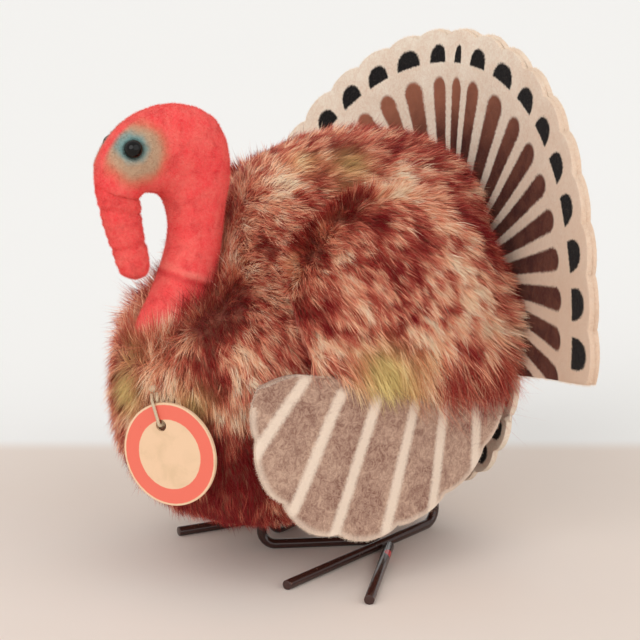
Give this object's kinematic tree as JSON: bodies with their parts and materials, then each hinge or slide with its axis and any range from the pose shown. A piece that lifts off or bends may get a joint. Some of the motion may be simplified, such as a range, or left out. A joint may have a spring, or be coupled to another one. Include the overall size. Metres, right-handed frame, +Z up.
{
  "type": "plush turkey",
  "caption": "Small standing plush turkey with a mohair body, red velvet head and snood, striped felt wings and tail fan, bead eyes, bent wire feet and a round card tag on a thread.",
  "frame": {"origin": "on the table below the middle of the bounding box, between the tag in front and the tail fan behind", "axes": "+Z up; the bird faces -Y, so its left wing is at +X and the tail fan at +Y"},
  "size_m": [0.167, 0.1148, 0.1406],
  "materials": {
    "mohair_plush": "matte",
    "red_velvet": "matte",
    "wood_wool": "matte",
    "steel_wire": "satin",
    "black_glass": "polished",
    "brown_felt": "matte",
    "cream_felt": "matte",
    "buckram_card": "matte",
    "painted_wire": "gloss",
    "tag_paper": "satin",
    "linen_thread": "matte"
  },
  "bodies": {
    "bird": {"body_cover": "mohair_plush", "body_stuffing": "wood_wool", "head_neck_cover": "red_velvet", "head_neck_stuffing": "wood_wool", "neck_wire": "steel_wire", "snood": "red_velvet", "left_eye_bead": "black_glass", "right_eye_bead": "black_glass", "eye_wire": "steel_wire", "left_wing_shoulder": "mohair_plush", "right_wing_shoulder": "mohair_plush", "tail_front_felt": "cream_felt", "tail_stiffener": "buckram_card", "tail_back_felt": "cream_felt", "undertail_felt": "cream_felt", "left_main_wire": "painted_wire", "left_outer_toe": "painted_wire", "left_inner_wire": "painted_wire", "right_main_wire": "painted_wire", "right_outer_toe": "painted_wire", "right_inner_wire": "painted_wire"},
    "left_wing": {"left_wing_felt": "brown_felt", "left_wing_lining": "brown_felt"},
    "right_wing": {"right_wing_felt": "brown_felt", "right_wing_lining": "brown_felt"},
    "tag_knot": {"tag_knot": "linen_thread"},
    "tag": {"tag_thread": "linen_thread", "tag_card": "tag_paper"}
  },
  "joints": [
    {"name": "left_wing_lift", "type": "hinge", "parent": "bird", "child": "left_wing", "pos_m": [0.0395, 0.00408, 0.0545], "axis": [0, -0.9863, 0.165], "range_deg": [0, 25], "stiffness_Nm_per_rad": 0.002},
    {"name": "right_wing_lift", "type": "hinge", "parent": "bird", "child": "right_wing", "pos_m": [-0.0395, 0.00408, 0.0545], "axis": [0, 0.9863, -0.165], "range_deg": [0, 25], "stiffness_Nm_per_rad": 0.002},
    {"name": "tag_swing_side", "type": "hinge", "parent": "bird", "child": "tag_knot", "pos_m": [0.01398, -0.04999, 0.05446], "axis": [0.515, -0.8572, 0], "range_deg": [-45, 15]},
    {"name": "tag_swing_out", "type": "hinge", "parent": "tag_knot", "child": "tag", "pos_m": [0.01398, -0.04999, 0.05446], "axis": [-0.8572, -0.515, 0], "range_deg": [0, 65]}
  ]
}
